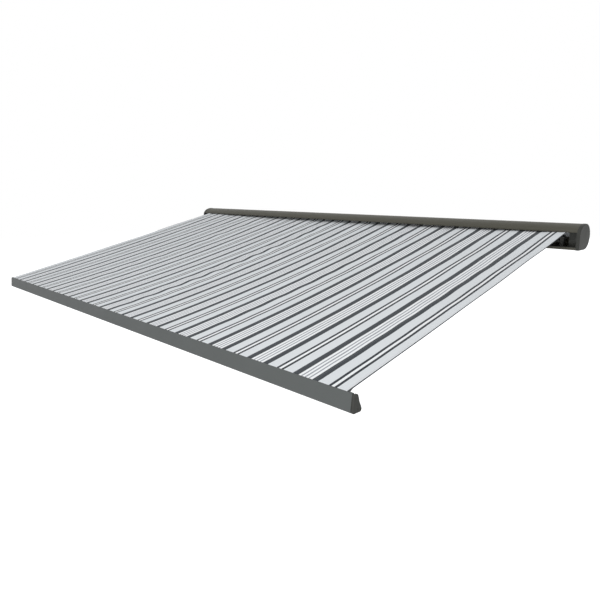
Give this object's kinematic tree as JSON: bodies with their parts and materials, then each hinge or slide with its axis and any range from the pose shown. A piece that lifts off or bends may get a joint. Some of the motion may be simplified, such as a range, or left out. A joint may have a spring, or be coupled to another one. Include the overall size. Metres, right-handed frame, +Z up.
{
  "type": "folding arm awning",
  "caption": "Retractable folding-arm awning with a full cassette, striped fabric, front bar and wall brackets, shown extended.",
  "frame": {"origin": "middle of the middle wall bracket's wall face", "axes": "+X along the cassette, +Y into the wall, +Z up; the awning extends along -Y"},
  "size_m": [4.96, 2.836, 0.7749],
  "materials": {
    "cassette_coat": "satin powder coat",
    "cap_coat": "satin powder coat",
    "bar_coat": "satin powder coat",
    "arm_coat": "satin powder coat",
    "casting_coat": "matt powder coat on a casting",
    "zinc_steel": "zinc plated",
    "roller_steel": "galvanised",
    "black_plastic": "moulded",
    "striped_fabric": "woven awning cloth, white and grey with dark stripes"
  },
  "bodies": {
    "wall_brackets": {"wall_bracket_left": "casting_coat", "wall_bracket_middle": "casting_coat", "wall_bracket_right": "casting_coat", "pitch_lock_screw_left": "zinc_steel", "pitch_lock_screw_middle": "zinc_steel", "pitch_lock_screw_right": "zinc_steel", "wall_bolt_left_lower": "zinc_steel", "wall_bolt_left_upper_a": "zinc_steel", "wall_bolt_left_upper_b": "zinc_steel", "wall_bolt_middle_lower": "zinc_steel", "wall_bolt_middle_upper_a": "zinc_steel", "wall_bolt_middle_upper_b": "zinc_steel", "wall_bolt_right_lower": "zinc_steel", "wall_bolt_right_upper_a": "zinc_steel", "wall_bolt_right_upper_b": "zinc_steel"},
    "cassette": {"cassette_back": "cassette_coat", "cassette_cover": "cassette_coat", "cable_gland": "black_plastic", "end_cap_left": "cap_coat", "end_cap_right": "cap_coat", "roller_bracket_left": "casting_coat", "roller_bracket_right": "casting_coat", "motor_head": "black_plastic", "motor_body": "zinc_steel", "shoulder_bracket_left": "casting_coat", "shoulder_bracket_right": "casting_coat", "shoulder_pin_left": "zinc_steel", "shoulder_pin_right": "zinc_steel", "fabric": "striped_fabric"},
    "roller": {"roller_tube": "roller_steel", "fabric_roll": "striped_fabric", "idler_plug": "black_plastic", "drive_wheel": "black_plastic"},
    "front_bar": {"front_bar": "bar_coat", "hem_rod": "black_plastic", "bar_cap_left": "cap_coat", "bar_cap_right": "cap_coat", "wrist_bracket_left": "casting_coat", "wrist_bracket_right": "casting_coat", "wrist_pin_left": "zinc_steel", "wrist_pin_right": "zinc_steel"},
    "upper_arm_left": {"upper_arm_tube_left": "arm_coat", "shoulder_eye_left": "casting_coat", "elbow_fork_left": "casting_coat", "elbow_pin_left": "zinc_steel", "arm_spring_left": "zinc_steel"},
    "forearm_left": {"forearm_tube_left": "arm_coat", "elbow_eye_left": "casting_coat", "wrist_eye_left": "casting_coat"},
    "upper_arm_right": {"upper_arm_tube_right": "arm_coat", "shoulder_eye_right": "casting_coat", "elbow_fork_right": "casting_coat", "elbow_pin_right": "zinc_steel", "arm_spring_right": "zinc_steel"},
    "forearm_right": {"forearm_tube_right": "arm_coat", "elbow_eye_right": "casting_coat", "wrist_eye_right": "casting_coat"}
  },
  "joints": [
    {"name": "tilt", "type": "hinge", "parent": "wall_brackets", "child": "cassette", "pos_m": [0, -0.1325, 0], "axis": [1, 0, 0], "range_deg": [-8, 17]},
    {"name": "fold", "type": "hinge", "parent": "cassette", "child": "upper_arm_left", "pos_m": [-2.27, -0.14966, -0.02506], "axis": [0, -0.23, 0.9732], "range_deg": [0, 75], "deforming": ["fabric"]},
    {"name": "elbow_left", "type": "hinge", "parent": "upper_arm_left", "child": "forearm_left", "pos_m": [-1.93607, -1.45274, -0.33309], "axis": [0, 0.23, -0.9732], "range_deg": [0, 150]},
    {"name": "wrist_left", "type": "hinge", "parent": "forearm_left", "child": "front_bar", "pos_m": [-2.27, -2.75581, -0.64112], "axis": [0, -0.23, 0.9732], "range_deg": [0, 75]},
    {"name": "shoulder_right", "type": "hinge", "parent": "cassette", "child": "upper_arm_right", "pos_m": [2.27, -0.14966, -0.02506], "axis": [0, 0.23, -0.9732], "range_deg": [0, 75]},
    {"name": "elbow_right", "type": "hinge", "parent": "upper_arm_right", "child": "forearm_right", "pos_m": [1.93607, -1.45274, -0.33309], "axis": [0, -0.23, 0.9732], "range_deg": [0, 150]},
    {"name": "roller_turn", "type": "hinge", "parent": "cassette", "child": "roller", "pos_m": [0, -0.09561, 0.02882], "axis": [1, 0, 0], "range_deg": [-3465, 0]}
  ],
  "couplings": [
    {"joint": "elbow_left", "follows": "fold", "ratio": 2},
    {"joint": "wrist_left", "follows": "fold", "ratio": 1},
    {"joint": "shoulder_right", "follows": "fold", "ratio": 1},
    {"joint": "elbow_right", "follows": "fold", "ratio": 2},
    {"joint": "roller_turn", "follows": "fold", "ratio": -46.187}
  ]
}
